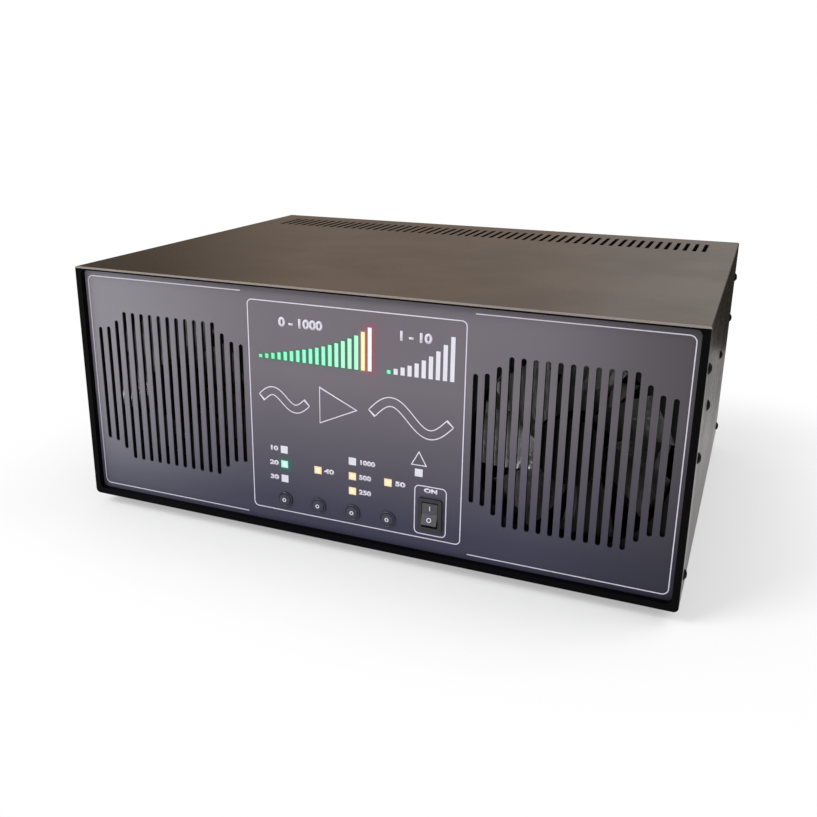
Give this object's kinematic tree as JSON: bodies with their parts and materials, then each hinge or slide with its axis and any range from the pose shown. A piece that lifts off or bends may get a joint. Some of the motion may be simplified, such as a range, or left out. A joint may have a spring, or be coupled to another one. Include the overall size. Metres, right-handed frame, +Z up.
{
  "type": "hf linear amplifier",
  "caption": "Desk-top radio power amplifier in a black sheet steel case, with slotted fan grilles, bar graph meters, status lamps, push buttons, a rocker switch and rear sockets.",
  "frame": {"origin": "on the table, under the middle of the whole outline", "axes": "+X to the right seen from the front, +Y to the rear, +Z up"},
  "size_m": [0.4032, 0.316, 0.171],
  "materials": {
    "case_paint": "fine satin powder coat",
    "tray_paint": "fine satin powder coat",
    "rim_paint": "satin black",
    "zinc_plate": "zinc plated",
    "overlay_print": "printed film, satin",
    "lamp_green": "lit",
    "lamp_amber": "lit",
    "lamp_red": "lit",
    "lamp_dark": "unlit",
    "black_plastic": "moulded, satin",
    "fan_black": "moulded",
    "fan_grey": "moulded",
    "copper": "enamelled wire",
    "aluminium": "extruded",
    "board_green": "solder mask",
    "gold_ceramic": "plated flange",
    "ferrite": "ground",
    "toroid_red": "powdered iron, painted",
    "relay_blue": "moulded",
    "capacitor_sleeve": "shrink sleeve",
    "winding_tape": "tape",
    "nickel": "nickel plated",
    "insulator_white": "turned",
    "phono_red": "moulded",
    "screw_black": "blackened",
    "rubber": "matte",
    "fuse_glass": "clear"
  },
  "bodies": {
    "case": {"bottom_tray": "tray_paint", "top_cover": "case_paint", "front_frame": "rim_paint", "front_plate": "zinc_plate", "front_overlay": "overlay_print", "power_bars_green": "lamp_green", "power_bar_amber": "lamp_amber", "power_bar_red": "lamp_red", "swr_bars_dark": "lamp_dark", "swr_bar_green": "lamp_green", "status_lenses_dark": "lamp_dark", "status_lens_green": "lamp_green", "status_lenses_amber": "lamp_amber", "button_rings": "black_plastic", "switch_housing": "black_plastic", "display_board": "board_green", "key_switches": "zinc_plate", "board_spacers": "gold_ceramic", "fan_frame_left": "fan_black", "fan_frame_right": "fan_black", "fan_stators": "copper", "fan_studs": "zinc_plate", "fan_nuts": "zinc_plate", "cooling_block": "aluminium", "rf_board": "board_green", "power_transistors": "gold_ceramic", "ferrite_transformers": "ferrite", "filter_board": "board_green", "filter_toroids": "toroid_red", "band_relays": "relay_blue", "filter_posts": "gold_ceramic", "supply_board": "board_green", "supply_transformer": "winding_tape", "supply_capacitors": "capacitor_sleeve", "supply_posts": "gold_ceramic", "rear_panel": "case_paint", "mains_inlet": "black_plastic", "inlet_pins": "nickel", "input_socket": "nickel", "antenna_socket": "nickel", "coaxial_insulators": "insulator_white", "phono_jacks": "nickel", "phono_insulators": "phono_red", "remote_socket": "nickel", "ground_stud": "nickel", "ground_nuts": "nickel", "connector_screws": "nickel", "side_screws": "screw_black", "feet": "rubber", "foot_screws": "zinc_plate"},
    "fan_left": {"fan_rotor_left": "fan_grey"},
    "fan_right": {"fan_rotor_right": "fan_grey"},
    "button_a": {"button_1": "black_plastic"},
    "button_b": {"button_2": "black_plastic"},
    "button_c": {"button_3": "black_plastic"},
    "button_d": {"button_4": "black_plastic"},
    "rocker": {"power_rocker": "black_plastic"},
    "fuse_carrier": {"fuse_drawer": "black_plastic", "mains_fuse": "fuse_glass"}
  },
  "joints": [
    {"name": "fan_left_spin", "type": "hinge", "parent": "case", "child": "fan_left", "pos_m": [-0.132, -0.139, 0.09], "axis": [0, 1, 0], "continuous": true},
    {"name": "fan_right_spin", "type": "hinge", "parent": "case", "child": "fan_right", "pos_m": [0.132, -0.139, 0.09], "axis": [0, 1, 0], "continuous": true},
    {"name": "button_1_press", "type": "slide", "parent": "case", "child": "button_a", "axis": [0, 1, 0], "range_m": [0, 0.0012], "stiffness_N_per_m": 400},
    {"name": "button_2_press", "type": "slide", "parent": "case", "child": "button_b", "axis": [0, 1, 0], "range_m": [0, 0.0012], "stiffness_N_per_m": 400},
    {"name": "button_3_press", "type": "slide", "parent": "case", "child": "button_c", "axis": [0, 1, 0], "range_m": [0, 0.0012], "stiffness_N_per_m": 400},
    {"name": "button_4_press", "type": "slide", "parent": "case", "child": "button_d", "axis": [0, 1, 0], "range_m": [0, 0.0012], "stiffness_N_per_m": 400},
    {"name": "rocker_tilt", "type": "hinge", "parent": "case", "child": "rocker", "pos_m": [0.052, -0.152, 0.0375], "axis": [1, 0, 0], "range_deg": [0, 18]},
    {"name": "fuse_drawer_pull", "type": "slide", "parent": "case", "child": "fuse_carrier", "axis": [0, 1, 0], "range_m": [0, 0.016]}
  ]
}
